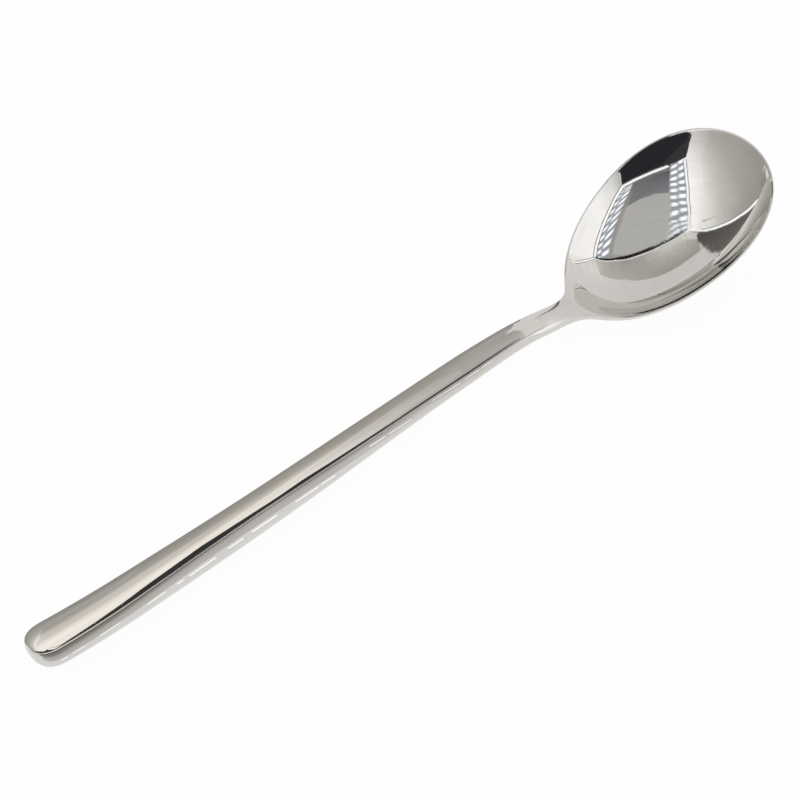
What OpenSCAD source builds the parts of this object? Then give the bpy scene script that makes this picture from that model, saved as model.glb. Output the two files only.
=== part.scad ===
/* [Spoon] */
// Length from the end of the handle to the tip of the bowl
spoon_length = 190; // [180:1:200]

/* [Bowl] */
// Length of the bowl from its shoulder to its tip
bowl_length = 49; // [46:1:52]
// Width of the bowl over its rim
bowl_width = 39.5; // [36:0.5:42]
// Depth of the bowl below its rim, measured straight down
bowl_depth = 9.2; // [8:0.2:10.6]
// Rise of the rim from shoulder to tip, in degrees
bowl_tilt = 19.8; // [16:0.2:21]
// Width of the flat land along the rim
rim_land = 0.3; // [0.2:0.05:0.6]
// Thickness of the steel at the bottom of the bowl
bowl_wall = 1.5; // [1.2:0.1:1.8]

/* [Handle] */
// Half width of the handle's top face near its end
end_half_width = 4.05; // [3.6:0.05:4.5]
// Half width of the top face along the middle of the handle
grip_half_width = 2.9; // [2.6:0.05:3.2]
// Half width of the top face at the neck
neck_half_width = 1.95; // [1.8:0.05:2.5]
// Height above the table, at the handle's end, of the straight line that the seam follows
seam_height_end = 6.7; // [6.5:0.1:7.1]
// Rise of the seam per millimetre of handle
seam_rise = 0.0265; // [0.02:0.0005:0.028]
// Lift of the handle's end above that straight line
end_lift = 1.7; // [1:0.1:2.2]
// Depth of the belly below the seam at the handle's end
belly_depth_end = 6.5; // [6.2:0.1:6.8]
// Depth of the belly below the seam at the neck
belly_depth_neck = 3.4; // [2.8:0.1:3.8]
// Length of the rounded end of the handle
end_round = 5.5; // [4:0.5:6]
// Wall thickness of the two handle shells
shell_wall = 0.6; // [0.5:0.05:0.7]

/* [Tang] */
// Length of the tang inside the handle
tang_length = 22; // [15:1:26]
// Gap between the tang and the shells, filled with braze
braze_gap = 0.15; // [0.1:0.05:0.2]

/* [Hidden] */

steel = [0.78, 0.78, 0.76];
braze_metal = [0.72, 0.66, 0.52];

// The spoon lies along X, handle end at -X, standing on the plane z = 0
end_x = -spoon_length / 2;
tip_x = spoon_length / 2;
bowl_mid_x = tip_x - bowl_length / 2;
shoulder_x = tip_x - bowl_length;

// The shells end and the solid neck begins a little behind the shoulder
neck_length = 12;
joint_x = shoulder_x - neck_length;
tang_x = joint_x - tang_length;

// Where the belly is deepest and where it has thinned down to the neck, from the handle's end
swell_at = 48;
thin_at = 120;
// Length over which the handle's end lifts
lift_length = 24;
// Where the top face stops tapering from the end
taper_end = 60;
// The neck narrows over this length, ending at the shoulder
neck_taper = 36;
// How far the belly bulges past the seam, as the angle of the seam on the belly's ellipse
bulge_angle = 39;
// Height of the crown over the seam, as a share of the top face's half width
crown_share = 0.3;
crown_power = 2.2;
// Lengths past the joint over which the handle's section turns into the bowl's and thins to its wall
neck_flow = 14;
neck_thinning = 16;
// Fall of the seam per millimetre where the neck drops to the bowl
neck_fall = 0.35;
// How far behind the shoulder the fall starts
neck_drop_at = 15;
// How gently lines blend where the neck meets the handle and the bowl
drop_blend = 2.7;
rim_blend = 1.7;
shoulder_blend = 7.55;
dish_blend = 0.12;
// Length over which the dish takes its full shape behind and past the shoulder
dish_reach = 10;
// Egg shape of the rim: how much fuller the outline is towards the tip
egg_lean = 0.24;
egg_full = 0.14;
// How much the bowl's section is rounder than a parabola
bowl_round = 0.5;
// Bluntness of the rim's outer side: 1 draws it as an ellipse, less makes it stand steeper
rim_side = 0.5;
// Bluntness of the handle's rounded end
end_power = 2.45;
// How far the underside runs into the rounded end, as a share of its length
end_keel = 0.2;
// Share of the belly's roundness that the rounded end keeps above its widest line
end_tuck = 0.25;
// Smallest half sizes at the two ends of the spoon, so that no ring closes to a point
tip_half_width = 0.6;
end_share = 0.14;
// Depth of the two small flats that the spoon stands on
rest_flat = 0.06;

// Facets: segments over the top face, round the belly, and stations along the spoon
top_steps = 18;
belly_steps = 24;
end_steps = 8;
grip_steps = 24;
tang_steps = 6;
neck_steps = 8;
bowl_steps = 30;
// Steps used to find the widest place of the egg
egg_steps = 200;
// Segments of the top shell and of the belly that a seam bead clings to
bead_top = 4;
bead_belly = 1;

function clamp01(u) = min(1, max(0, u));
function smooth_step(u) = clamp01(u) * clamp01(u) * (3 - 2 * clamp01(u));
function smooth_max(a, b, r) = (a + b + sqrt((a - b) * (a - b) + r * r)) / 2;
function smooth_min(a, b, r) = (a + b - sqrt((a - b) * (a - b) + r * r)) / 2;
function mix(a, b, u) = a + (b - a) * u;

// The rounded end: how far a station reaches into it, 1 at its tip, and the share of the section left there
function end_reach(x) = clamp01(1 - (x - end_x) / end_round);
function end_size(x) = max(end_share, pow(1 - pow(end_reach(x), end_power), 1 / end_power));

// Place along X of a point of a section, drawn out into the rounded end at the given turn on the belly's ellipse
function drawn_x(x, turn, wall) =
    let (fall = (sin(turn) < 0 ? end_tuck : 1) * pow(sin(turn), 2))
    let (keel = sqrt((1 - fall + pow(end_keel, 2)) / (1 + pow(end_keel, 2))))
    x >= end_x + end_round ? x : end_x + end_round - (end_round - wall) * end_reach(x) * keel;

// Half width squared of an egg outline drawn in from the rim by inset; negative outside its ends
function egg(e) = (1 - e * e) * (1 + egg_lean * e + egg_full * e * e);
egg_peak = max([for (i = [0 : egg_steps]) egg(i / egg_steps)]);
function egg_square(x, inset) =
    pow(bowl_width / 2 - inset, 2) * egg((x - bowl_mid_x) / (bowl_length / 2 - inset)) / egg_peak;

// Half width of the handle's top face before its rounded end and its flare into the bowl
function strip_half_width(x) =
    let (s = x - end_x)
    let (grip = mix(end_half_width, grip_half_width, smooth_step(s / taper_end)))
    grip - (grip_half_width - neck_half_width) * smooth_step((x - shoulder_x + neck_taper) / neck_taper);

// Half width of the spoon at its edge: the seam on the handle, the rim on the bowl
function edge_half_width(x) =
    let (fade = 1 - smooth_step(2 * (x - shoulder_x) / bowl_length))
    let (strip = pow(strip_half_width(x), 2) * fade)
    let (square = smooth_max(egg_square(x, 0), strip, pow(shoulder_blend, 2) * fade))
    sqrt(max(pow(tip_half_width, 2), square));

// Height of the edge line: a lifted end, a gentle rise along the handle, down the neck, up along the rim
function handle_line(x) =
    let (s = x - end_x)
    seam_height_end + seam_rise * s + end_lift * pow(max(0, 1 - s / lift_length), 2);
function fall_line(x) = handle_line(shoulder_x) - neck_fall * (x - shoulder_x + neck_drop_at);
function rim_line(x) = tan(bowl_tilt) * (x - shoulder_x);
function edge_height(x, lift) =
    smooth_max(smooth_min(handle_line(x), fall_line(x), drop_blend), rim_line(x) + lift, rim_blend);

// Depth of the belly, or of the steel under the bowl, below the edge line
function belly_depth(x) =
    let (s = x - end_x)
    let (deepest = handle_line(end_x + swell_at) + rest_flat)
    let (grip = mix(belly_depth_end, deepest, smooth_step(s / swell_at)))
    let (shank = mix(grip, belly_depth_neck, smooth_step((s - swell_at) / (thin_at - swell_at))))
    mix(shank, bowl_wall, smooth_step((x - joint_x) / neck_thinning));

// Depth of the dish where the given share of the egg's half width squared is left
function dish(share) = bowl_depth * share * (1 + bowl_round - bowl_round * share);

// The bowl stands on the table: its lift comes from the lowest point under its middle line
function under_bowl(x, lift) =
    edge_height(x, lift) - belly_depth(x) - dish(pow(2 * edge_half_width(x) / bowl_width, 2));
under_stations = [for (i = [0 : bowl_steps]) mix(shoulder_x, tip_x, i / bowl_steps)];
first_lift = bowl_depth;
rim_lift = first_lift - min([for (x = under_stations) under_bowl(x, first_lift)]) - rest_flat;
function edge_z(x) = edge_height(x, rim_lift);

// A point of the top face: across runs from 0 at +Y to 1 at -Y, wall is the depth into the steel
function crown(x, across, wall) =
    let (size = end_size(x))
    let (half = (edge_half_width(x) - wall) * size)
    let (seam_x = drawn_x(x, -bulge_angle, wall))
    let (outer_rise = crown_share * strip_half_width(x) * (1 - smooth_step((x - joint_x) / neck_flow)))
    let (rise = (outer_rise - wall) * size)
    [seam_x, half * cos(180 * across), edge_z(seam_x) + rise * (1 - pow(abs(cos(180 * across)), crown_power))];

// Share of the dish open at a point, blended softly where the neck runs into the bowl
function open_share(x, y) =
    let (free = (egg_square(x, rim_land) - y * y) / pow(bowl_width / 2 - rim_land, 2))
    smooth_max(free, 0, dish_blend * (1 - smooth_step((x - shoulder_x) / dish_reach)));

// A point of the bowl's or neck's upper face; the dish starts at the joint and ends at the edge
function upper(x, across) =
    let (p = crown(x, across, 0))
    let (share = open_share(x, p[1]) - open_share(x, edge_half_width(x)))
    [p[0], p[1], p[2] - dish(share) * smooth_step((x - joint_x) / dish_reach)];

// A point of the belly: around runs from 0 at the edge on -Y, under the spoon, to 1 at the edge on +Y
function lower(x, around, wall) =
    let (bulge = bulge_angle * (1 - smooth_step((x - joint_x) / neck_flow)))
    let (half = (edge_half_width(x) - wall) * end_size(x))
    let (turn = -bulge + (180 + 2 * bulge) * around)
    let (y = -half / cos(bulge) * cos(turn))
    let (depth = belly_depth(x) - wall)
    let (px = drawn_x(x, turn, wall))
    let (share = max(0, pow(half + wall, 2) - y * y) / pow(bowl_width / 2, 2))
    let (sag = dish(share) * smooth_step((x - joint_x + dish_reach) / dish_reach))
    let (blunt = mix(1, rim_side, smooth_step((x - joint_x) / neck_flow)))
    let (deep = depth * pow(max(0, sin(turn) + sin(bulge)) / (1 + sin(bulge)), blunt))
    [px, y, max(0, edge_z(px) - deep - sag)];

// Stations along the spoon
function cosine_run(a, b, steps) = [for (i = [0 : steps - 1]) b - (b - a) * cos(90 * i / steps)];
function even_run(a, b, steps) = [for (i = [0 : steps - 1]) mix(a, b, i / steps)];
shell_stations = concat(
    cosine_run(end_x, end_x + end_round, end_steps),
    even_run(end_x + end_round, tang_x, grip_steps),
    even_run(tang_x, joint_x, tang_steps),
    [joint_x]);
tang_stations = concat(even_run(tang_x, joint_x, tang_steps), [joint_x]);
bowl_stations = concat(
    even_run(joint_x, shoulder_x, neck_steps),
    [for (i = [0 : bowl_steps]) mix(shoulder_x, tip_x, sin(90 * i / bowl_steps))]);

// Rings round the spoon at one station
function top_row(x, wall) = [for (i = [0 : top_steps]) crown(x, i / top_steps, wall)];
function upper_row(x) = [for (i = [0 : top_steps]) upper(x, i / top_steps)];
function belly_row(x, wall) = [for (i = [0 : belly_steps]) lower(x, i / belly_steps, wall)];
function inner_part(row) = [for (i = [1 : len(row) - 2]) row[i]];
function core_ring(x, wall) = concat(top_row(x, wall), inner_part(belly_row(x, wall)));
function bowl_ring(x) = concat(upper_row(x), inner_part(belly_row(x, 0)));

function flat(lists) = [for (l = lists) each l];

// Faces of a skin over rows of n points, wound for a skin whose rows run along +X round the spoon
function skin_faces(rows, n, first, closed) = flat([
    for (r = [0 : rows - 2], i = [0 : closed ? n - 1 : n - 2])
        let (a = first + r * n + i, b = first + r * n + (i + 1) % n)
        [[a, b + n, b], [a, a + n, b + n]]]);
// Faces that close a row of n points, an odd count, from one side to the other
function end_faces(n, first) =
    let (middle = (n - 1) / 2)
    concat(
        [for (i = [0 : middle - 2]) [first + i, first + i + 1, first + n - 2 - i, first + n - 1 - i]],
        [[first + middle - 1, first + middle, first + middle + 1]]);
function flip(faces) = [for (f = faces) [for (i = [len(f) - 1 : -1 : 0]) f[i]]];

// A solid through closed rings of equal count
module loft(rings) {
    n = len(rings[0]);
    last = (len(rings) - 1) * n;
    caps = [[for (i = [0 : n - 1]) i], [for (i = [n - 1 : -1 : 0]) last + i]];
    polyhedron(flat(rings), concat(skin_faces(len(rings), n, 0, true), caps));
}

// A tube between two sets of closed rings
module sleeve(outer, inner) {
    n = len(outer[0]);
    rows = len(outer);
    half = rows * n;
    far = half - n;
    rims = flat([for (i = [0 : n - 1])
        let (j = (i + 1) % n)
        [[i, j, i + half], [j, j + half, i + half],
         [far + j, far + i, far + j + half], [far + i, far + i + half, far + j + half]]]);
    skins = concat(skin_faces(rows, n, 0, true), flip(skin_faces(rows, n, half, true)));
    polyhedron(concat(flat(outer), flat(inner)), concat(skins, rims));
}

// A shell between an outer and an inner skin of open rows, closed at its end, open at its mouth
module shell(outer, inner) {
    n = len(outer[0]);
    rows = len(outer);
    half = rows * n;
    far = half - n;
    first_edge = [for (r = [0 : rows - 2]) each
        let (a = r * n)
        [[a, a + n + half, a + n], [a, a + half, a + n + half]]];
    last_edge = [for (r = [0 : rows - 2]) each
        let (a = r * n + n - 1)
        [[a, a + n, a + half], [a + n, a + n + half, a + half]]];
    mouth = [for (i = [far : far + n - 2]) each [[i, i + 1 + half, i + 1], [i, i + half, i + 1 + half]]];
    end_edge = [[0, half + n - 1, half], [0, n - 1, half + n - 1]];
    ends = concat(end_edge, end_faces(n, 0), flip(end_faces(n, half)));
    skins = concat(skin_faces(rows, n, 0, false), flip(skin_faces(rows, n, half, false)));
    polyhedron(concat(flat(outer), flat(inner)), concat(skins, first_edge, last_edge, mouth, ends));
}

// Bowl, neck and tang, pressed and drawn from one blank
module bowl() {
    tang_wall = shell_wall + braze_gap;
    color(steel)
    loft(concat([for (x = tang_stations) core_ring(x, tang_wall)], [for (x = bowl_stations) bowl_ring(x)]));
}

// Crowned upper half of the hollow handle
module handle_top() {
    color(steel)
    shell([for (x = shell_stations) top_row(x, 0)], [for (x = shell_stations) top_row(x, shell_wall)]);
}

// Trough-shaped lower half of the hollow handle
module handle_belly() {
    color(steel)
    shell([for (x = shell_stations) belly_row(x, 0)], [for (x = shell_stations) belly_row(x, shell_wall)]);
}

// Bead of braze in the inner corner along one side of the seam, up to the tang
module seam_braze(side) {
    stations = concat(even_run(end_x + end_round, tang_x, grip_steps), [tang_x]);
    rings = [for (x = stations)
        let (top = top_row(x, shell_wall), belly = belly_row(x, shell_wall))
        side > 0
            ? concat([for (i = [0 : bead_top]) top[i]], [for (i = [bead_belly : -1 : 1]) belly[belly_steps - i]])
            : concat([for (i = [0 : bead_belly]) belly[i]], [for (i = [bead_top : -1 : 1]) top[top_steps - i]])];
    color(braze_metal)
    loft(rings);
}
module seam_braze_left() { seam_braze(1); }
module seam_braze_right() { seam_braze(-1); }

// Sleeve of braze that fills the gap between the tang and the shells
module tang_braze() {
    outer = [for (x = tang_stations) core_ring(x, shell_wall)];
    inner = [for (x = tang_stations) core_ring(x, shell_wall + braze_gap)];
    color(braze_metal)
    sleeve(outer, inner);
}

bowl();
handle_top();
handle_belly();
seam_braze_left();
seam_braze_right();
tang_braze();
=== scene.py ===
from math import cos, pi, radians, sin, tan

import bpy
import numpy as np
from mathutils import Matrix, Vector


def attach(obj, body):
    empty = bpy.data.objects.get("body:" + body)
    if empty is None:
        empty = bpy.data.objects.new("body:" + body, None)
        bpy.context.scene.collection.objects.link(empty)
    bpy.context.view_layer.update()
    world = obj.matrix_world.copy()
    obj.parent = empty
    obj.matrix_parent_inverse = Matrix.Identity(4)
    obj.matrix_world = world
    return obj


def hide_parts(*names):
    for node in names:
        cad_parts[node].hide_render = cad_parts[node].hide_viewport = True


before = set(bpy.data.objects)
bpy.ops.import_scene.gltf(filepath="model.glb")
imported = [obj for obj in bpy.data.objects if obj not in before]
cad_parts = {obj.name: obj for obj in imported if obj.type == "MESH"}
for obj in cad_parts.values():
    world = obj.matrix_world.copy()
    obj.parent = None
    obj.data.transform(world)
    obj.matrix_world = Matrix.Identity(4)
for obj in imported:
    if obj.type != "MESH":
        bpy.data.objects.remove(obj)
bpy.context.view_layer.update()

MM = 0.001
SMOOTHING = 2

# Sizes of the spoon, in millimetres and degrees
SPOON_LENGTH = 190
BOWL_LENGTH = 49
BOWL_WIDTH = 39.5
BOWL_DEPTH = 9.2
BOWL_TILT = 19.8
RIM_LAND = 0.3
BOWL_WALL = 1.5
END_HALF_WIDTH = 4.05
GRIP_HALF_WIDTH = 2.9
NECK_HALF_WIDTH = 1.95
SEAM_HEIGHT_END = 6.7
SEAM_RISE = 0.0265
END_LIFT = 1.7
LIFT_LENGTH = 24
BELLY_DEPTH_END = 6.5
BELLY_DEPTH_NECK = 3.4
END_ROUND = 5.5
SHELL_WALL = 0.6
TANG_LENGTH = 22
BRAZE_GAP = 0.15
NECK_LENGTH = 12
SWELL_AT = 48
THIN_AT = 120
TAPER_END = 60
NECK_TAPER = 36
BULGE = radians(39)
CROWN_SHARE = 0.3
CROWN_POWER = 2.2
NECK_FLOW = 14
NECK_THINNING = 16
NECK_FALL = 0.35
NECK_DROP_AT = 15
DROP_BLEND = 2.7
RIM_BLEND = 1.7
SHOULDER_BLEND = 7.55
DISH_BLEND = 0.12
DISH_REACH = 10
EGG_LEAN = 0.24
EGG_FULL = 0.14
BOWL_ROUND = 0.5
RIM_SIDE = 0.5
END_POWER = 2.45
END_KEEL = 0.2
END_TUCK = 0.25
REST_FLAT = 0.06
TIP_HALF_WIDTH = 0.3

END_X = -SPOON_LENGTH / 2
TIP_X = SPOON_LENGTH / 2
BOWL_MID_X = TIP_X - BOWL_LENGTH / 2
SHOULDER_X = TIP_X - BOWL_LENGTH
JOINT_X = SHOULDER_X - NECK_LENGTH
TANG_X = JOINT_X - TANG_LENGTH


# The spoon's form
def smooth_step(u):
    u = np.clip(u, 0, 1)
    return u * u * (3 - 2 * u)


def smooth_max(a, b, r):
    return (a + b + np.sqrt((a - b) ** 2 + r * r)) / 2


def smooth_min(a, b, r):
    return (a + b - np.sqrt((a - b) ** 2 + r * r)) / 2


def mix(a, b, u):
    return a + (b - a) * u


def egg(e):
    return (1 - e * e) * (1 + EGG_LEAN * e + EGG_FULL * e * e)


EGG_PEAK = egg(np.linspace(0, 1, 201)).max()


def egg_square(x, inset):
    """Half width squared of the rim's outline drawn in by inset; negative outside its ends."""
    return (BOWL_WIDTH / 2 - inset) ** 2 * egg((x - BOWL_MID_X) / (BOWL_LENGTH / 2 - inset)) / EGG_PEAK


def end_reach(x):
    return np.clip(1 - (x - END_X) / END_ROUND, 0, 1)


def end_size(x):
    return (1 - end_reach(x) ** END_POWER) ** (1 / END_POWER)


def drawn_x(x, turn, wall):
    """Place along the spoon of a point that is drawn out into the rounded end."""
    fall = np.where(np.sin(turn) < 0, END_TUCK, 1) * np.sin(turn) ** 2
    keel = np.sqrt((1 - fall + END_KEEL ** 2) / (1 + END_KEEL ** 2))
    full = END_X + END_ROUND
    return np.where(x >= full, x, full - (END_ROUND - wall) * end_reach(x) * keel)


def strip_half_width(x):
    grip = mix(END_HALF_WIDTH, GRIP_HALF_WIDTH, smooth_step((x - END_X) / TAPER_END))
    narrowing = smooth_step((x - SHOULDER_X + NECK_TAPER) / NECK_TAPER)
    return grip - (GRIP_HALF_WIDTH - NECK_HALF_WIDTH) * narrowing


def edge_half_width(x):
    """Half width at the edge: the seam on the handle, the rim on the bowl."""
    fade = 1 - smooth_step(2 * (x - SHOULDER_X) / BOWL_LENGTH)
    square = smooth_max(egg_square(x, 0), strip_half_width(x) ** 2 * fade, SHOULDER_BLEND ** 2 * fade)
    return np.sqrt(np.maximum(TIP_HALF_WIDTH ** 2, square))


def handle_line(x):
    s = x - END_X
    return SEAM_HEIGHT_END + SEAM_RISE * s + END_LIFT * np.maximum(0, 1 - s / LIFT_LENGTH) ** 2


def edge_height(x, lift):
    fall = handle_line(SHOULDER_X) - NECK_FALL * (x - SHOULDER_X + NECK_DROP_AT)
    rim = tan(radians(BOWL_TILT)) * (x - SHOULDER_X) + lift
    return smooth_max(smooth_min(handle_line(x), fall, DROP_BLEND), rim, RIM_BLEND)


def belly_depth(x):
    s = x - END_X
    deepest = handle_line(END_X + SWELL_AT) + REST_FLAT
    grip = mix(BELLY_DEPTH_END, deepest, smooth_step(s / SWELL_AT))
    shank = mix(grip, BELLY_DEPTH_NECK, smooth_step((s - SWELL_AT) / (THIN_AT - SWELL_AT)))
    return mix(shank, BOWL_WALL, smooth_step((x - JOINT_X) / NECK_THINNING))


def dish(share):
    return BOWL_DEPTH * share * (1 + BOWL_ROUND - BOWL_ROUND * share)


def rim_lift():
    """Lift of the rim that lets the bowl stand on the table."""
    x = np.linspace(SHOULDER_X, TIP_X, 31)
    under = edge_height(x, BOWL_DEPTH) - belly_depth(x) - dish((2 * edge_half_width(x) / BOWL_WIDTH) ** 2)
    return BOWL_DEPTH - under.min() - REST_FLAT


RIM_LIFT = rim_lift()


def edge_z(x):
    return edge_height(x, RIM_LIFT)


def crown(x, across, wall):
    """The top face; across is 1 at the far edge and -1 at the near one, wall the depth into the steel."""
    size = end_size(x)
    half = (edge_half_width(x) - wall) * size
    seam_x = drawn_x(x, -BULGE, wall)
    outer_rise = CROWN_SHARE * strip_half_width(x) * (1 - smooth_step((x - JOINT_X) / NECK_FLOW))
    z = edge_z(seam_x) + (outer_rise - wall) * size * (1 - np.abs(across) ** CROWN_POWER)
    return np.stack([seam_x, half * across, z], -1)


def open_share(x, y):
    free = (egg_square(x, RIM_LAND) - y * y) / (BOWL_WIDTH / 2 - RIM_LAND) ** 2
    return smooth_max(free, 0, DISH_BLEND * (1 - smooth_step((x - SHOULDER_X) / DISH_REACH)))


def dished(x, across):
    """The upper face of neck and bowl."""
    place = crown(x, across, 0)
    share = open_share(x, place[..., 1]) - open_share(x, edge_half_width(x))
    place[..., 2] -= dish(share) * smooth_step((x - JOINT_X) / DISH_REACH)
    return place


def belly(x, around, wall):
    """The underside; around is 0 at the near edge and 1 at the far one."""
    bulge = BULGE * (1 - smooth_step((x - JOINT_X) / NECK_FLOW))
    half = (edge_half_width(x) - wall) * end_size(x)
    turn = -bulge + (pi + 2 * bulge) * around
    y = -half / np.cos(bulge) * np.cos(turn)
    px = drawn_x(x, turn, wall)
    share = np.maximum(0, (half + wall) ** 2 - y * y) / (BOWL_WIDTH / 2) ** 2
    sag = dish(share) * smooth_step((x - JOINT_X + DISH_REACH) / DISH_REACH)
    blunt = mix(1, RIM_SIDE, smooth_step((x - JOINT_X) / NECK_FLOW))
    round_share = np.maximum(0, np.sin(turn) + np.sin(bulge)) / (1 + np.sin(bulge))
    deep = (belly_depth(x) - wall) * round_share ** blunt
    return np.stack([px, y, np.maximum(0, edge_z(px) - deep - sag)], -1)


# Making pieces
def only(*pieces):
    bpy.ops.object.select_all(action="DESELECT")
    for piece in pieces:
        piece.select_set(True)
    bpy.context.view_layer.objects.active = pieces[0]


def lay_grid(name, stations, shares, form, tint=None):
    """A grid whose rows follow the stations and whose columns follow the shares, laid on a form."""
    bpy.ops.object.select_all(action="DESELECT")
    rows, columns = len(stations) - 1, len(shares) - 1
    bpy.ops.mesh.primitive_grid_add(x_subdivisions=columns, y_subdivisions=rows, size=1)
    sheet = bpy.context.object
    sheet.name = name
    place = np.empty(len(sheet.data.vertices) * 3)
    sheet.data.vertices.foreach_get("co", place)
    place = place.reshape(-1, 3)
    column = np.rint((place[:, 0] + 0.5) * columns).astype(int)
    row = np.rint((place[:, 1] + 0.5) * rows).astype(int)
    station, share = np.asarray(stations)[row], np.asarray(shares)[column]
    sheet.data.vertices.foreach_set("co", (form(station, share) * MM).ravel())
    if tint:
        tone = sheet.data.attributes.new("tone", "FLOAT_COLOR", "POINT")
        tone.data.foreach_set("color", tint(station, share).ravel())
    sheet.data.update()
    return sheet


def join_skins(name, *sheets):
    """Joins sheets into one piece and welds the points where they meet."""
    only(*sheets)
    bpy.ops.object.join()
    piece = bpy.context.object
    piece.name = piece.data.name = name
    bpy.ops.object.mode_set(mode="EDIT")
    bpy.ops.mesh.select_all(action="SELECT")
    bpy.ops.mesh.remove_doubles(threshold=1e-7)
    bpy.ops.mesh.dissolve_degenerate(threshold=1e-8)
    return piece


def bridge_open_edges():
    """Closes a wall between the open edges of its outer and inner skin."""
    bpy.ops.mesh.select_mode(type="EDGE")
    bpy.ops.mesh.select_all(action="DESELECT")
    bpy.ops.mesh.select_non_manifold(extend=False, use_wire=False, use_boundary=True,
                                     use_multi_face=False, use_non_contiguous=False, use_verts=False)
    bpy.ops.mesh.bridge_edge_loops()


def fill_open_edges():
    bpy.ops.mesh.select_all(action="SELECT")
    bpy.ops.mesh.fill_holes(sides=0)


def keep_joint_sharp(mesh):
    """Keeps the edges where the shells meet the neck sharp, so that they close without a groove."""
    place = np.empty(len(mesh.vertices) * 3)
    mesh.vertices.foreach_get("co", place)
    at_joint = np.abs(place[::3] - JOINT_X * MM) < 1e-6
    ends = np.empty(len(mesh.edges) * 2, int)
    mesh.edges.foreach_get("vertices", ends)
    crease = mesh.attributes.new("crease_edge", "FLOAT", "EDGE")
    crease.data.foreach_set("value", at_joint[ends].reshape(-1, 2).all(1).astype(np.float32))


def finish_piece(piece, steel, node):
    """Outward faces, a smooth limit surface, its finish, and its place in the frame."""
    bpy.ops.mesh.select_all(action="SELECT")
    bpy.ops.mesh.normals_make_consistent(inside=False)
    bpy.ops.object.mode_set(mode="OBJECT")
    keep_joint_sharp(piece.data)
    only(piece)
    smooth = piece.modifiers.new("smooth", "SUBSURF")
    smooth.levels = smooth.render_levels = SMOOTHING
    bpy.ops.object.modifier_apply(modifier=smooth.name)
    bpy.ops.object.shade_smooth()
    piece.data.materials.clear()
    piece.data.materials.append(steel)
    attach(piece, "root")
    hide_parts(node)


def mirrored(shares):
    return shares + [-s for s in reversed(shares) if s > 0]


def both_sides(shares):
    return shares + [1 - s for s in reversed(shares) if s < 0.5]


# Finishes
class Line:
    """One output of a finish's nodes; sums of lines add Math nodes."""

    def __init__(self, tree, socket):
        self.tree = tree
        self.socket = socket

    def add(self, kind, settings, sockets, output=0):
        node = self.tree.nodes.new(kind)
        for name, value in settings.items():
            setattr(node, name, value)
        for name, value in sockets.items():
            if isinstance(value, Line):
                self.tree.links.new(value.socket, node.inputs[name])
            else:
                node.inputs[name].default_value = value
        return Line(self.tree, node.outputs[output])

    def sum(self, operation, first, second):
        return self.add("ShaderNodeMath", {"operation": operation}, {0: first, 1: second})

    def __add__(self, other):
        return self.sum("ADD", self, other)

    def __radd__(self, other):
        return self.sum("ADD", other, self)

    def __sub__(self, other):
        return self.sum("SUBTRACT", self, other)

    def __rsub__(self, other):
        return self.sum("SUBTRACT", other, self)

    def __mul__(self, other):
        return self.sum("MULTIPLY", self, other)

    def __rmul__(self, other):
        return self.sum("MULTIPLY", other, self)

    def __gt__(self, other):
        return self.sum("GREATER_THAN", self, other)


def new_finish(name):
    """A finish with a metal shader, and the place of a point on the piece."""
    finish = bpy.data.materials.new(name)
    finish.use_nodes = True
    shader = finish.node_tree.nodes["Principled BSDF"]
    start = Line(finish.node_tree, None)
    place = start.add("ShaderNodeTexCoord", {}, {}, "Object")
    return finish, shader, place


def noise(place, scale, detail):
    return place.add("ShaderNodeTexNoise", {}, {"Vector": place, "Scale": scale, "Detail": detail}, "Fac")


def stretched(place, middle, turn, scale):
    return place.add("ShaderNodeMapping", {"vector_type": "TEXTURE"},
                     {"Vector": place, "Location": middle, "Rotation": turn,
                      "Scale": [1 / s for s in scale]})


def tinted(low, high, share):
    return share.add("ShaderNodeMix", {"data_type": "RGBA"},
                     {"Factor": share, 6: (*low, 1), 7: (*high, 1)}, 2)


def polished_steel(name, lines, line_depth):
    finish, shader, place = new_finish(name)
    cloud = noise(place, 90, 3)
    haze = noise(lines(place), 1, 4)
    scratches = sum_scratches(place)
    shader.inputs["Metallic"].default_value = 1
    links = finish.node_tree.links
    tint = tinted((0.64, 0.635, 0.62), (0.84, 0.835, 0.82), 0.4 * cloud + 0.6 * haze)
    links.new(tint.socket, shader.inputs["Base Color"])
    roughness = 0.02 + 0.05 * cloud * haze + 0.10 * scratches
    links.new(roughness.socket, shader.inputs["Roughness"])
    relief = haze.add("ShaderNodeBump", {}, {"Height": haze - 0.5 * scratches, "Strength": line_depth,
                                             "Distance": 0.0001}, "Normal")
    links.new(relief.socket, shader.inputs["Normal"])
    return finish


def sum_scratches(place):
    """Fine stray scratches in three directions, 0 to 1."""
    total = 0
    for turn, scale in ((0.5, 900), (1.7, 700), (2.6, 1100)):
        along = stretched(place, (0, 0, 0), (0, 0, turn), (scale * 0.02, scale * 2, scale * 2))
        total = (noise(along, 1, 1) > 0.74) + total
    return total * 0.5


def bowl_lines(place):
    """Polishing lines that circle the middle of the bowl."""
    centred = stretched(place, (BOWL_MID_X * MM, 0, 0), (0, 0, 0), (1, 1, 1))
    parts = place.add("ShaderNodeSeparateXYZ", {}, {"Vector": centred}, "X")
    across = Line(parts.tree, parts.socket.node.outputs["Y"])
    radius = centred.add("ShaderNodeVectorMath", {"operation": "LENGTH"}, {0: centred}, "Value")
    turn = parts.sum("ARCTAN2", across, parts)
    return radius.add("ShaderNodeCombineXYZ", {}, {"X": radius * 1500, "Y": turn * 2.5, "Z": 0})


def handle_lines(place):
    """Polishing lines that run along the handle."""
    return stretched(place, (0, 0, 0), (0, 0, 0), (60, 1800, 1800))


bowl_finish = polished_steel("polished_bowl_steel", bowl_lines, 0.012)
handle_finish = polished_steel("polished_handle_steel", handle_lines, 0.02)


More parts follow.
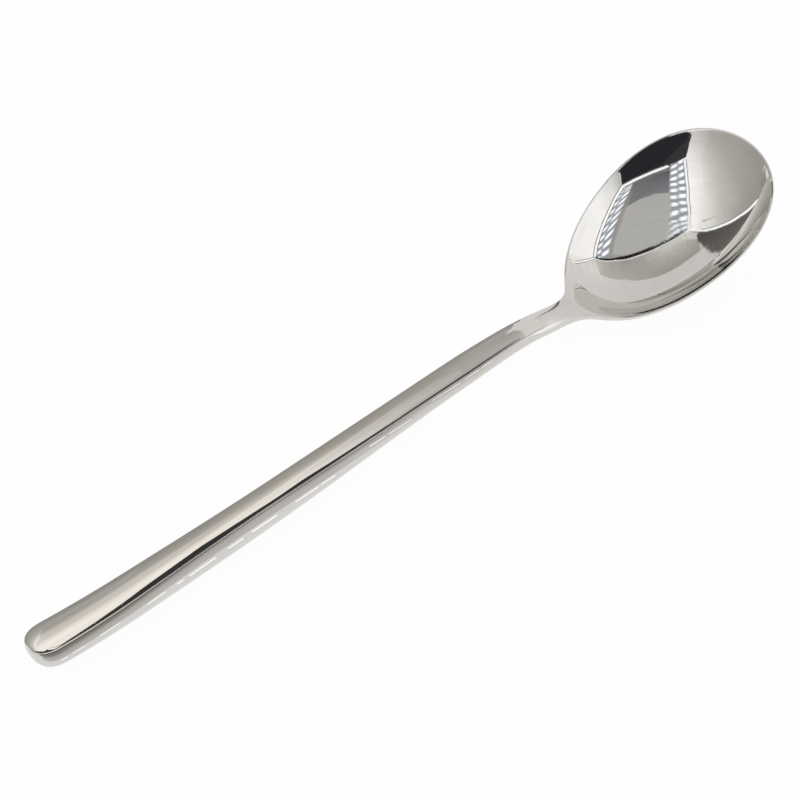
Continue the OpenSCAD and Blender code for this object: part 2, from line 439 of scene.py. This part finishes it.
def brass_braze():
    finish, shader, place = new_finish("brass_braze")
    cloud = noise(place, 400, 4)
    shader.inputs["Metallic"].default_value = 1
    links = finish.node_tree.links
    links.new(tinted((0.60, 0.47, 0.24), (0.78, 0.66, 0.40), cloud).socket, shader.inputs["Base Color"])
    links.new((0.3 + 0.25 * cloud).socket, shader.inputs["Roughness"])
    relief = cloud.add("ShaderNodeBump", {}, {"Height": cloud, "Strength": 0.4, "Distance": 0.0002}, "Normal")
    links.new(relief.socket, shader.inputs["Normal"])
    return finish


braze_finish = brass_braze()
for node in ("seam_braze_left", "seam_braze_right", "tang_braze"):
    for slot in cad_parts[node].material_slots:
        slot.material = braze_finish


# Stations and shares of the skins
def cosine_run(a, b, steps):
    return [b - (b - a) * cos(pi / 2 * i / steps) for i in range(steps)]


end_run = cosine_run(END_X, END_X + END_ROUND, 10)
grip_run = list(np.linspace(END_X + END_ROUND, JOINT_X - 1, 52))
shell_stations = end_run + grip_run + [JOINT_X - 0.02, JOINT_X]
tang_stations = [TANG_X] + list(np.linspace(TANG_X + 0.5, JOINT_X - 0.5, 6)) + [JOINT_X]
neck_stations = [JOINT_X, JOINT_X + 0.02] + list(np.linspace(JOINT_X + 1, SHOULDER_X, 13, endpoint=False))
bowl_stations = [mix(SHOULDER_X, TIP_X, sin(pi / 2 * i / 44)) for i in range(45)]

top_shares = mirrored([1, 0.955, 0.88, 0.76, 0.62, 0.47, 0.32, 0.16, 0])
belly_shares = both_sides([0, 0.011, 0.03, 0.065, 0.105, 0.15, 0.2, 0.25, 0.3, 0.35, 0.4, 0.45, 0.5])
dish_shares = mirrored([1, 0.987, 0.96, 0.92, 0.865, 0.8, 0.725, 0.64, 0.55, 0.45, 0.345, 0.235, 0.12, 0])
under_shares = both_sides([0, 0.006, 0.02, 0.055, 0.1, 0.15, 0.2, 0.25, 0.3, 0.35, 0.4, 0.45, 0.5])


def make_grip_top():
    outer = lay_grid("outer", shell_stations, top_shares, lambda x, c: crown(x, c, 0))
    inner = lay_grid("inner", shell_stations, top_shares, lambda x, c: crown(x, c, SHELL_WALL))
    piece = join_skins("grip_top", outer, inner)
    bridge_open_edges()
    finish_piece(piece, handle_finish, "handle_top")


def make_grip_belly():
    outer = lay_grid("outer", shell_stations, belly_shares, lambda x, a: belly(x, a, 0))
    inner = lay_grid("inner", shell_stations, belly_shares, lambda x, a: belly(x, a, SHELL_WALL))
    piece = join_skins("grip_belly", outer, inner)
    bridge_open_edges()
    finish_piece(piece, handle_finish, "handle_belly")


def make_spoon_bowl():
    along = np.array(tang_stations + neck_stations + bowl_stations)
    step = np.arange(len(along))
    walls = np.where(step < len(tang_stations), SHELL_WALL + BRAZE_GAP, 0)

    def upper_skin(row, across):
        x, wall = along[row], walls[row]
        return np.where(wall[:, None] > 0, crown(x, across, wall), dished(x, across))

    def lower_skin(row, around):
        return belly(along[row], around, walls[row])

    upper = lay_grid("upper", step, dish_shares, upper_skin)
    lower = lay_grid("lower", step, under_shares, lower_skin)
    piece = join_skins("spoon_bowl", upper, lower)
    fill_open_edges()
    finish_piece(piece, bowl_finish, "bowl")


make_grip_top()
make_grip_belly()
make_spoon_bowl()

# The camera
AZIMUTH = radians(-29.183)
ELEVATION = radians(48)
ROLL = radians(-10)
AIM = Vector((-1.151, 2.812, 7.4))
DISTANCE = 460
SENSOR_WIDTH = 36
FOCAL_LENGTH = 98.0235
back = Vector((sin(AZIMUTH) * cos(ELEVATION), -cos(AZIMUTH) * cos(ELEVATION), sin(ELEVATION)))
level = Vector((cos(AZIMUTH), sin(AZIMUTH), 0))
upright = back.cross(level)
right = level * cos(ROLL) + upright * sin(ROLL)
up = upright * cos(ROLL) - level * sin(ROLL)
lens = bpy.data.cameras.new("camera")
lens.sensor_width = SENSOR_WIDTH
lens.lens = FOCAL_LENGTH
lens.clip_start = 0.01
camera = bpy.data.objects.new("camera", lens)
bpy.context.scene.collection.objects.link(camera)
facing = Matrix((right, up, back)).transposed().to_4x4()
camera.matrix_world = Matrix.Translation((AIM + back * DISTANCE) * MM) @ facing
bpy.context.scene.camera = camera

# The light tent round the spoon: front is towards the camera, side to its right.
# Tones are greys from 0 to 255, as the steel shows them.
FRONT = Vector((back.x, back.y, 0)).normalized()
SIDE = level
STEEL = np.array((0.74, 0.735, 0.72))
# Heights in the tent
TOP = 343
CEILING = 160
DARK_STRIP = 88
LOW_PANEL = 50.5
LOW_ROPE = 50
LOW_JOINT = 49.8
LOW_STRIP = 49.5
LOW_CORNER = 40
CANOPY = 24
# Tones of a strip of lamps
ROPE_GREY = 148
ROPE_LAMP = 265


def tent(front, side, height):
    """A place in the tent, in the spoon's millimetres."""
    return tuple(FRONT * front + SIDE * side + Vector((0, 0, height)))


def on_wall(first, second, share, height):
    """A place on an upright wall between two corners of the tent."""
    return tent(mix(first[0], second[0], share), mix(first[1], second[1], share), height)


def glow(tone, warm):
    """Brightness that shows as this grey, so much warmer, once the steel has mirrored it."""
    shown = np.stack([tone, tone - 0.4 * warm, tone - warm], -1) / 255
    light = np.where(shown <= 0.04045, shown / 12.92, ((shown + 0.055) / 1.055) ** 2.4) / STEEL
    return np.concatenate([light, np.ones((len(light), 1))], 1)


def between(lattice, row, column):
    """Value of a lattice between its rows and columns."""
    r = np.minimum(row.astype(int), len(lattice) - 2)
    c = np.minimum(column.astype(int), len(lattice[0]) - 2)
    v, u = row - r, column - c
    if lattice.ndim == 3:
        v, u = v[:, None], u[:, None]
    near = mix(lattice[r, c], lattice[r, c + 1], u)
    far = mix(lattice[r + 1, c], lattice[r + 1, c + 1], u)
    return mix(near, far, v)


def tent_light():
    """Cloth that glows in the tone painted on it."""
    finish = bpy.data.materials.new("tent_light")
    finish.use_nodes = True
    tree = finish.node_tree
    tree.nodes.clear()
    tone = Line(tree, None).add("ShaderNodeAttribute", {"attribute_name": "tone"}, {}, "Color")
    light = tone.add("ShaderNodeEmission", {}, {"Color": tone, "Strength": 1.0}, "Emission")
    tree.links.new(light.socket, tree.nodes.new("ShaderNodeOutputMaterial").inputs["Surface"])
    return finish


tent_finish = tent_light()


def lit_sheet(name, places, tones, warm=0, fine=6, pattern=None):
    """A glowing sheet through rows of places, with a tone at each place or a pattern over all."""
    places, tones = np.array(places, float), np.array(tones, float)
    rows = np.linspace(0, len(places) - 1, (len(places) - 1) * fine + 1)
    columns = np.linspace(0, len(places[0]) - 1, (len(places[0]) - 1) * fine + 1)
    tint = pattern or (lambda r, c: glow(between(tones, r, c), warm))
    sheet = lay_grid(name, rows, columns, lambda r, c: between(places, r, c), tint)
    sheet.data.materials.append(tent_finish)
    sheet.visible_camera = False
    sheet.visible_shadow = False
    sheet.visible_diffuse = False


def flat_sheet(name, height, rows, tones, warm=0):
    lit_sheet(name, [[tent(*p, height) for p in row] for row in rows], tones, warm)


def wall(name, first, second, shares, heights, tones, warm=0):
    lit_sheet(name, [[on_wall(first, second, u, z) for u in shares] for z in heights], tones, warm)


def slope(name, inner, outer, tones, warm=0):
    """Cloth from the ceiling's edge up and out to the top of a wall."""
    lit_sheet(name, [[tent(*p, CEILING) for p in inner], [tent(*p, TOP) for p in outer]], tones, warm)


def joint(name, places):
    """A pale joint between two cloths with a dark edge on both sides."""
    a, b, c, d = np.array(places)
    rows = [a, mix(a, b, 0.5), b, c, mix(c, d, 0.5), d]
    lit_sheet(name, rows, [[tone] * len(a) for tone in (150, 70, 250, 250, 70, 150)])


def rope_light(name, outer, inner, height, beads, slant):
    """A strip of small lamps in two staggered columns on grey."""
    along = len(outer) - 1

    def pattern(row, column):
        lane = np.floor(np.minimum(row * 2, 1.999))
        across = row * 2 - lane
        phase = 2 * pi * (beads * column / along + 0.5 * lane + slant * across)
        lamp = np.clip(1.8 * np.cos(phase) + 0.35, 0, 1) * np.sin(pi * np.clip(across, 0, 1)) ** 0.5
        return glow(mix(ROPE_GREY, ROPE_LAMP, lamp), -7)

    places = [[tent(*p, height) for p in line] for line in (outer, inner)]
    lit_sheet(name, places, [[0] * len(outer)] * 2, fine=40, pattern=pattern)


# Corners of the tent at its top, as (front, side)
FRONT_RIGHT, FRONT_LEFT, BACK_LEFT, BACK_RIGHT = (349, 303), (300, -215), (-185, -133), (-55, 309)
# Edges of the ceiling
FRONT_EDGE = [(114, 155), (101, 108), (99, 79), (87, 18), (85, -48)]
RIGHT_EDGE = [(114, 155), (84, 164), (34, 163), (-15, 159), (-49, 152)]
LEFT_EDGE = [(85, -48), (7, -26), (-49, -14), (-91, -9), (-112, -9)]
BACK_EDGE = [(-60, 152), (-80, 81), (-105, 36), (-120, 6), (-125, -9)]

# Ceiling: cream over the handle, grey to the right, with a dark strip hung below it
flat_sheet("ceiling", CEILING,
           [[(114, 155), (104, 108), (96, 58), (93, 35), (90, 2)],
            [(34, 163), (25, 112), (30, 59), (35, 40), (30, 10)],
            [(-10, 158), (-25, 106), (-40, 52), (-40, 32), (-42, 8)],
            [(-60, 152), (-75, 100), (-100, 45), (-110, 25), (-125, 6)]],
           [[110, 105, 95, 90, 80], [140, 150, 175, 220, 235],
            [150, 150, 180, 185, 195], [150, 150, 160, 160, 170]], 10)
flat_sheet("ceiling_cream", CEILING,
           [[(90, 2), (85, -48)], [(30, 10), (7, -26)], [(-42, 8), (-50, -15)], [(-125, 6), (-125, -9)]],
           [[235, 235], [235, 235], [195, 220], [170, 180]], 17)
flat_sheet("dark_strip", DARK_STRIP,
           [[(100, -148), (84, -94), (75, -60), (69, -37), (44, -40), (27, -30),
             (28, -6), (21, -1), (21, 10), (18, 22), (15, 34)],
            [(125, -166), (107, -97), (90, -54), (80, -30), (70, -24), (62, -7),
             (54, 6), (50, 11), (46, 22), (37, 36), (31, 44)]],
           [[50] * 11] * 2)

# Panels hung low over the bowl: a grey front, a window behind it, and a bright strip to the left
WINDOW_FRONT = [(-24.6, 68.2), (-26.6, 62.3), (-30.7, 56.1), (-35.6, 51.4), (-40.9, 46.1)]
flat_sheet("low_front", LOW_PANEL,
           [[(-13.5, 70.0), (-15.5, 63.9), (-17.8, 58.2), (-20.4, 51.7), (-21.4, 41.7)], WINDOW_FRONT],
           [[110, 105, 95, 90, 85], [120, 115, 120, 125, 130]], -2)
flat_sheet("low_window", LOW_PANEL,
           [WINDOW_FRONT,
            [(-33.8, 65.3), (-40.5, 56.4), (-45.8, 51.5), (-49.0, 49.1), (-51.2, 46.3)],
            [(-42.0, 62.8), (-47.4, 54.3), (-52.2, 49.0), (-55.3, 47.0), (-56.8, 45.6)]],
           [[170] * 5, [172] * 5, [174] * 5], 5)
LOW_LEFT = [(((-7.9, 31.6), (-18.3, 41.4), (-26.7, 47.6)),
             ((-35.2, 44.0), (-46.4, 46.0), (-54.8, 46.1), (-58.7, 45.5))),
            (((-13.3, 7.6), (-22.4, 28.1), (-31.1, 40.6)),
             ((-40.0, 37.2), (-50.3, 41.9), (-57.9, 43.3), (-62.0, 43.3)))]
lit_sheet("low_left",
          [[tent(*p, LOW_CORNER) for p in corner] + [tent(*p, LOW_STRIP) for p in strip]
           for corner, strip in LOW_LEFT],
          [[195, 215, 235, 250, 250, 250, 250], [170, 185, 215, 230, 230, 230, 225]], 8)
rope_light("right_rope", RIGHT_EDGE, [(100, 114), (84, 112), (45, 114), (1, 111), (-55, 100)],
           CEILING - 1, 11, 0.2)
rope_light("left_rope", [(-18.4, 41.0), (-34.2, 44.6), (-45.8, 46.3), (-54.4, 46.2), (-58.5, 45.5)],
           [(-16.7, 50.4), (-27.9, 51.5), (-37.3, 51.1), (-48.9, 49.2), (-55.1, 47.2)], LOW_ROPE, 11, -0.3)

# Walls and the slopes that join them to the ceiling
wall("left_wall", FRONT_LEFT, BACK_LEFT, [0, 0.5, 1], [0, 100, 200, 270, TOP],
     [[150, 150, 145], [170, 170, 160], [210, 205, 185], [230, 230, 215], [240, 245, 235]], 9)
wall("back_wall", BACK_LEFT, BACK_RIGHT, [0, 0.2, 0.45, 0.8, 1], [0, 50, 130, 190, 230, 270, TOP],
     [[140, 140, 150, 225, 230], [145, 150, 155, 230, 235], [155, 155, 160, 235, 235], [160, 165, 160, 235, 235],
      [170, 180, 160, 235, 235], [190, 195, 165, 235, 235], [205, 210, 170, 235, 235]], 13)
wall("right_wall", BACK_RIGHT, FRONT_RIGHT, [0, 0.5, 0.75, 1], [0, 120, TOP],
     [[225, 220, 190, 165], [240, 240, 205, 165], [245, 245, 230, 175]], 6)
wall("front_wall", FRONT_RIGHT, FRONT_LEFT, [0, 0.5, 1], [0, 60, 100, TOP],
     [[150] * 3, [120] * 3, [38] * 3, [36] * 3], -4)
slope("left_slope", LEFT_EDGE, [FRONT_LEFT, (170, -193), (60, -174), (-70, -152), BACK_LEFT],
      [[240, 240, 225, 190, 180], [230, 230, 230, 215, 205]], 15)
slope("right_slope", RIGHT_EDGE, [FRONT_RIGHT, (247, 305), (146, 306), (45, 308), BACK_RIGHT],
      [[160, 215, 240, 245, 245], [170, 215, 240, 245, 245]], 6)
slope("front_slope", FRONT_EDGE, [FRONT_RIGHT, (337, 174), (325, 44), (312, -86), FRONT_LEFT],
      [[70, 55, 50, 48, 48], [40, 38, 38, 38, 40]], -4)
slope("back_slope", BACK_EDGE, [BACK_RIGHT, (-88, 198), (-120, 88), (-152, -22), BACK_LEFT],
      [[160, 160, 160, 165, 170], [200] * 5], 12)

# A low wall close behind the bowl, with darker and lighter cloths hung on it
LOW_WALL_LEFT, LOW_WALL_RIGHT = (-91, -6), (-45, 149)


def on_low_wall(points, nearer=0):
    first, second = [(front + nearer, side) for front, side in (LOW_WALL_LEFT, LOW_WALL_RIGHT)]
    return [on_wall(first, second, u, z) for u, z in points]


BLACK_LINE = [(0.169, 101.5), (0.215, 103), (0.303, 119.5), (0.541, 142.5), (0.947, 144)]
LEFT_LINE = [(0.214, 70), (0.229, 51), (0.256, 32), (0.30, 17.4), (0.349, 10.3)]
lit_sheet("low_wall", [on_low_wall(row) for row in (
    [(u, z - 0.5) for u, z in BLACK_LINE],
    [(0.214, 70), (0.30, 70), (0.42, 74), (0.60, 80), (0.87, 75)],
    [(0.229, 51), (0.31, 51), (0.43, 51), (0.60, 51), (0.81, 51)],
    [(0.256, 32), (0.33, 32), (0.44, 32), (0.60, 32), (0.80, 32)],
    [(0.30, 17.4), (0.36, 17.4), (0.45, 17.4), (0.60, 17.4), (0.80, 17.4)],
    [(0.349, 10.3), (0.39, 10.3), (0.46, 10.3), (0.60, 10.3), (0.80, 10.3)],
    [(0.40, 0), (0.42, 0), (0.48, 0), (0.60, 0), (0.80, 0)])],
    [[205] * 5, [200, 200, 200, 210, 215], [200, 195, 200, 205, 210], [195, 195, 200, 205, 210],
     [195, 195, 200, 205, 205], [190, 190, 200, 205, 205], [185, 190, 200, 205, 205]], 8)
lit_sheet("low_wall_brown", [
    on_low_wall([(0.205, 99), (0.235, 103), (0.26, 108), (0.303, 116),
                 (0.40, 127), (0.541, 139), (0.70, 140), (0.93, 141)], 0.5),
    on_low_wall([(0.236, 71), (0.29, 50), (0.31, 51), (0.325, 55),
                 (0.388, 68), (0.585, 79), (0.687, 100), (0.93, 140)], 0.5)],
    [[205, 200, 180, 160, 150, 160, 170, 190], [160, 150, 150, 160, 170, 180, 190, 195]], 10)
lit_sheet("low_wall_left", [
    on_low_wall([(0.12, 108), (0.10, 94), (0.075, 82), (0.052, 61), (0.06, 37.6), (0.118, 22)], 1),
    on_low_wall([(0.169, 101)] + LEFT_LINE, 1)],
    [[240, 225, 195, 170, 155, 150], [245, 225, 190, 160, 150, 145]], 9)
lit_sheet("low_wall_wedge", [
    on_low_wall([(0.20, 80)] + LEFT_LINE, 1),
    on_low_wall([(0.215, 78), (0.25, 66), (0.304, 43), (0.345, 27), (0.385, 13.3), (0.41, 6.6)], 1)],
    [[75, 75, 80, 90, 100, 105], [80, 80, 90, 95, 110, 120]], 7)
lit_sheet("low_wall_black", [
    on_low_wall([(0.135, 115), (0.195, 116), (0.300, 137), (0.59, 169), (1.078, 173)], 1.5),
    on_low_wall(BLACK_LINE, 1.5)],
    [[25] * 5, [28] * 5])
lit_sheet("low_wall_edge", [
    on_low_wall(BLACK_LINE, 1.5),
    on_low_wall([(0.175, 98.5), (0.219, 100), (0.303, 115.5), (0.533, 137), (0.92, 138)], 1.5)],
    [[230] * 5, [225] * 5], 6)

# Joints of the cloths
joint("front_joint", [[tent(*p, CEILING - 1.5) for p in line] for line in (
    [(123.7, 163.6), (116.9, 121.5), (108.3, 83.3), (95.9, 20.3), (94.4, -47.8)],
    [(118.1, 158.7), (111.5, 117.9), (103.3, 81.0), (91.0, 19.4), (89.3, -47.4)],
    [(107.4, 149.4), (101.3, 111.2), (93.6, 76.5), (81.7, 17.7), (79.5, -46.7)],
    [(102.2, 145.0), (96.4, 108.0), (88.9, 74.4), (77.1, 16.9), (74.9, -46.4)])])
joint("right_joint", [[tent(*p, CEILING - 2) for p in line] for line in (
    [(103.0, 142.9), (74.8, 152.3), (28.2, 151.8), (-18.0, 148.6), (-50.2, 142.1)],
    [(107.7, 148.3), (78.7, 157.7), (30.9, 156.9), (-16.4, 153.4), (-49.4, 146.6)],
    [(117.6, 159.8), (86.9, 169.4), (36.6, 167.9), (-13.2, 163.7), (-48.0, 156.2)],
    [(122.8, 165.9), (91.2, 175.7), (39.4, 173.7), (-11.7, 169.1), (-47.3, 161.3)])])
joint("left_joint", [[tent(*p, LOW_JOINT) for p in line] for line in (
    [(-19.0, 39.6), (-34.8, 43.8), (-46.3, 45.8), (-54.9, 45.9), (-59.1, 45.2)],
    [(-18.7, 40.3), (-34.5, 44.2), (-46.0, 46.1), (-54.7, 46.1), (-58.8, 45.4)],
    [(-18.1, 41.6), (-33.9, 45.0), (-45.5, 46.6), (-54.2, 46.4), (-58.3, 45.7)],
    [(-17.8, 42.3), (-33.6, 45.4), (-45.2, 46.8), (-53.9, 46.5), (-58.0, 45.8)])])
joint("left_back_joint", [on_low_wall(line, 2) for line in (
    [(0.150, 107.1), (0.199, 73.7), (0.210, 55.3), (0.232, 35.8), (0.272, 19.9), (0.321, 11.9)],
    [(0.160, 104.0), (0.207, 71.6), (0.220, 53.2), (0.244, 34.0), (0.286, 18.6), (0.335, 11.1)],
    [(0.177, 98.4), (0.221, 67.8), (0.238, 49.2), (0.267, 30.5), (0.313, 16.2), (0.362, 9.5)],
    [(0.184, 95.9), (0.228, 66.0), (0.246, 47.3), (0.278, 28.8), (0.326, 15.0), (0.374, 8.8)])])
joint("right_back_joint", [on_low_wall(line, 2) for line in (
    [(0.900, 134.3), (0.891, 101.6), (0.841, 71.3), (0.777, 45.9)],
    [(0.920, 138.0), (0.910, 103.5), (0.860, 73.0), (0.790, 47.0)],
    [(0.975, 148.0), (0.958, 109.0), (0.893, 76.5), (0.815, 49.5)],
    [(1.013, 153.8), (0.984, 111.5), (0.913, 78.3), (0.830, 50.4)])])
wall("left_front_joint", FRONT_LEFT, BACK_LEFT, [0, 0.02, 0.04], [120, TOP], [[90, 245, 150], [90, 245, 150]])
wall("right_front_joint", BACK_RIGHT, FRONT_RIGHT, [0.95, 0.975, 1], [120, TOP], [[130, 245, 80], [130, 245, 80]])

# Cards that stand along the handle and behind the neck and the shoulder of the bowl, in the spoon's own places
lit_sheet("back_card", [[(-110, 15, z), (-60, 14, z), (36, 11, z)] for z in (0, 5, 10)],
          [[130] * 3, [135] * 3, [145] * 3], 10)
lit_sheet("front_card", [[(-110, -14.5, z), (-60, -14.5, z), (-22, -13.5, z), (3, -12.9, z), (38, -12, z)]
                         for z in (0, 5, 7.5, 9.5, 12, 18)],
          [[180, 180, 180, 205, 210], [175, 175, 180, 205, 210], [160, 160, 170, 205, 210],
           [130, 130, 140, 195, 210], [115, 115, 125, 180, 210], [105, 105, 120, 170, 210]], 9)
lit_sheet("neck_card", [[(35, 13, z), (42, 13.5, z), (48, 16, z)] for z in (0, 10, CANOPY)],
          [[200] * 3, [205] * 3, [205] * 3], 9)
lit_sheet("shoulder_card", [[(46, 14.5, 0), (52, 18, 0), (60, 25, 0), (69, 33, 0)],
                            [(46, 14.5, 20), (52, 18, 16), (60, 25, 15), (69, 33, 18)]],
          [[200] * 4, [205] * 4], 9)

# A canopy over the neck, and a dark strip under it that the seam's edge mirrors
lit_sheet("neck_canopy", [[(x, y, CANOPY) for x in (17, 34, 37.5, 39, 52)] for y in (-9, -2, 8, 22)],
          [[160, 170, 180, 205, 205], [170, 170, 180, 205, 205],
           [165, 160, 160, 205, 205], [160, 160, 160, 205, 205]], 9)
SEAM_STRIP = [(0, -6.9, -9.5), (10, -6.6, -9.2), (21, -6.2, -8.8), (31, -5.2, -7.8), (36, -4.7, -7.0)]
lit_sheet("seam_strip", [[(x, inner, CANOPY - 0.5) for x, inner, outer in SEAM_STRIP],
                         [(x, outer, CANOPY - 0.5) for x, inner, outer in SEAM_STRIP]],
          [[60, 60, 70, 100, 150]] * 2)

# Glints on the front card, as (first, last, height), and on the floor before it, as (middle, length, depth)
BRIGHT = [[255] * 2] * 2
for first, last, height in ((-11, -7, 5.5), (-6, 0, 5.5), (6.5, 14, 13.5), (16, 20, 15.5), (21.5, 24.5, 16.5)):
    lit_sheet("card_glint", [[(first, -12.4, z), (last, -12.2, z)] for z in (height, height + 1.1)], BRIGHT)
for middle, length, depth in ((-89.5, 2.9, -10.5), (-85.3, 2.9, -11), (-77.5, 4.7, -11.5), (-66.3, 4.5, -10),
                              (-60.5, 1.7, -9), (-55, 6.8, -8.5), (-46.5, 3.9, -8.5), (-39.2, 6.2, -8.5),
                              (-28, 6, -9), (-22.5, 3.7, -9)):
    first, last = middle - length / 2, middle + length / 2
    lit_sheet("glint", [[(first, depth - 0.9, 0.4), (last, depth - 0.7, 0.4)],
                        [(first, depth + 0.7, 0.4), (last, depth + 0.9, 0.4)]], BRIGHT)

# Floor and room
WHITE_SHARE = 0.955


def white_floor():
    """White to the camera but for the spoon's soft shadow, a little darker where the steel mirrors it."""
    finish = bpy.data.materials.new("floor")
    finish.use_nodes = True
    tree = finish.node_tree
    tree.nodes.clear()
    begin = Line(tree, None)
    paint = begin.add("ShaderNodeBsdfDiffuse", {}, {"Color": (0.8, 0.8, 0.8, 1)}, "BSDF")
    white = begin.add("ShaderNodeEmission", {}, {"Color": (1, 1, 1, 1), "Strength": 1.0}, "Emission")
    dim = begin.add("ShaderNodeEmission", {}, {"Color": (0.86, 0.85, 0.83, 1), "Strength": 1.0}, "Emission")
    camera_ray = begin.add("ShaderNodeLightPath", {}, {}, "Is Camera Ray")
    mirrored_ray = Line(tree, camera_ray.socket.node.outputs["Is Glossy Ray"])
    shown = begin.add("ShaderNodeMixShader", {}, {0: camera_ray * WHITE_SHARE, 1: paint, 2: white}, "Shader")
    surface = begin.add("ShaderNodeMixShader", {}, {0: mirrored_ray, 1: shown, 2: dim}, "Shader")
    tree.links.new(surface.socket, tree.nodes.new("ShaderNodeOutputMaterial").inputs["Surface"])
    return finish


bpy.ops.object.select_all(action="DESELECT")
bpy.ops.mesh.primitive_plane_add(size=6)
floor = bpy.context.object
floor.name = "floor"
floor.data.materials.append(white_floor())

world = bpy.data.worlds.new("room")
bpy.context.scene.world = world
world.use_nodes = True
world.node_tree.nodes["Background"].inputs["Color"].default_value = (1, 1, 1, 1)
world.node_tree.nodes["Background"].inputs["Strength"].default_value = 1.0

bpy.context.scene.view_settings.view_transform = "Standard"
